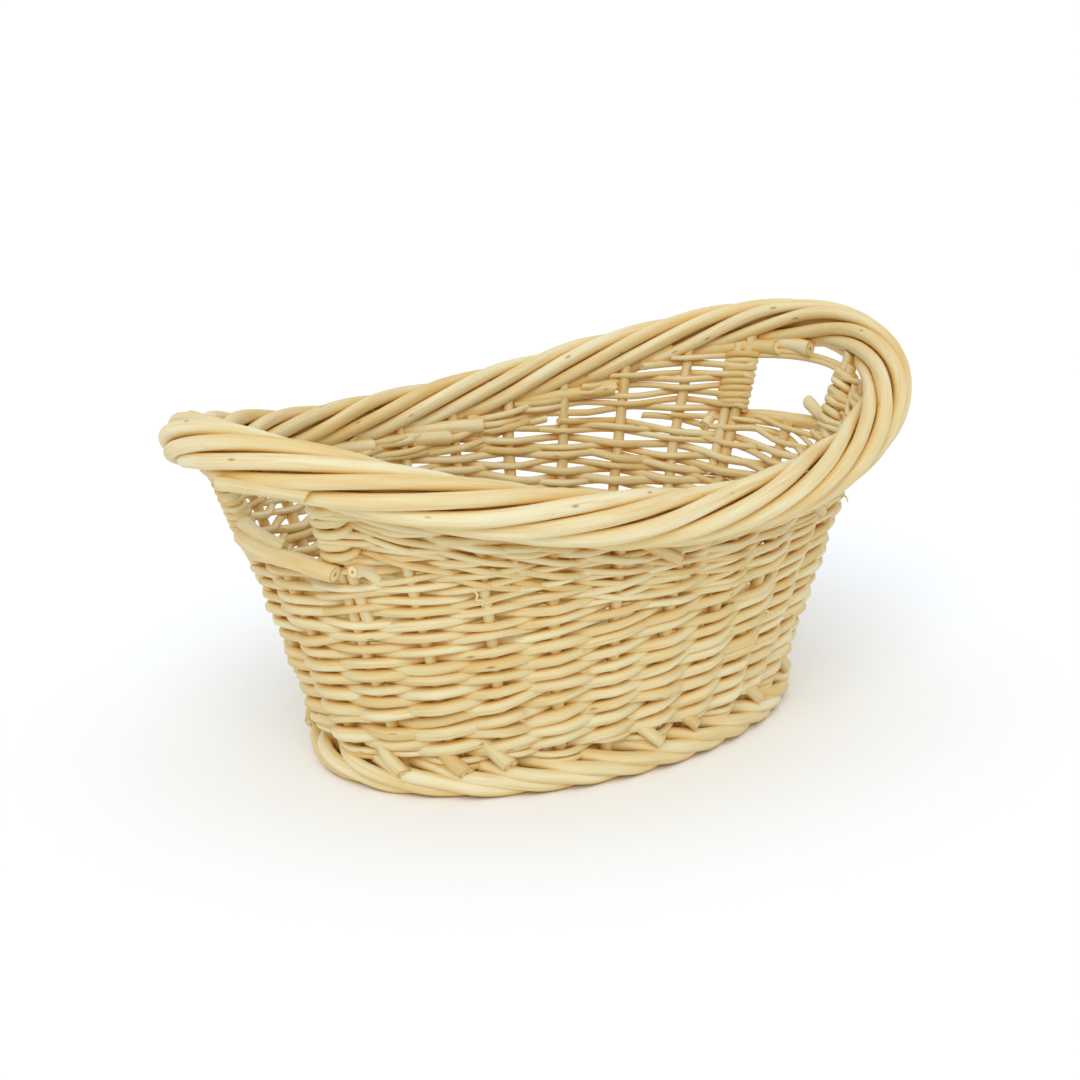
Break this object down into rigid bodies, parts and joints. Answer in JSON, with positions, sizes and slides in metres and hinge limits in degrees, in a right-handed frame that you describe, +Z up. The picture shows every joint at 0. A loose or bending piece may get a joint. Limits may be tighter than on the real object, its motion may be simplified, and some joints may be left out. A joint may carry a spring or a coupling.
{
  "type": "oval fruit basket",
  "caption": "Boat-shaped oval willow basket with an open woven side, a thick rope border that rises to each end, and a hand hole under the border at both ends",
  "frame": {"origin": "on the ground under the middle of the foot", "axes": "+X along the basket towards its right hand hole, +Y across it, +Z up"},
  "size_m": [0.3802, 0.241, 0.1627],
  "materials": {
    "weaving_willow": "satin",
    "stake_willow": "satin",
    "border_willow": "satin",
    "base_willow": "matte"
  },
  "bodies": {
    "root": {"base_short_sticks": "base_willow", "base_long_sticks": "base_willow", "base_corner_sticks": "base_willow", "base_weave": "base_willow", "stakes": "stake_willow", "cut_stakes": "stake_willow", "handle_posts": "stake_willow", "stake_butts": "stake_willow", "foot_border": "stake_willow", "upsett_round_1": "weaving_willow", "upsett_round_2": "weaving_willow", "side_layer_1": "weaving_willow", "side_layer_2": "weaving_willow", "side_layer_3": "weaving_willow", "side_layer_4": "weaving_willow", "side_layer_5": "weaving_willow", "side_layer_6": "weaving_willow", "side_layer_7": "weaving_willow", "side_layer_8": "weaving_willow", "side_layer_9": "weaving_willow", "front_left_shoulder": "weaving_willow", "front_right_shoulder": "weaving_willow", "back_left_shoulder": "weaving_willow", "back_right_shoulder": "weaving_willow", "left_handle_rail": "stake_willow", "right_handle_rail": "stake_willow", "left_post_wraps": "weaving_willow", "right_post_wraps": "weaving_willow", "border_core": "border_willow", "border_rods_front": "border_willow", "border_rods_back": "border_willow", "border_rods_left": "border_willow", "border_rods_right": "border_willow"}
  },
  "joints": []
}
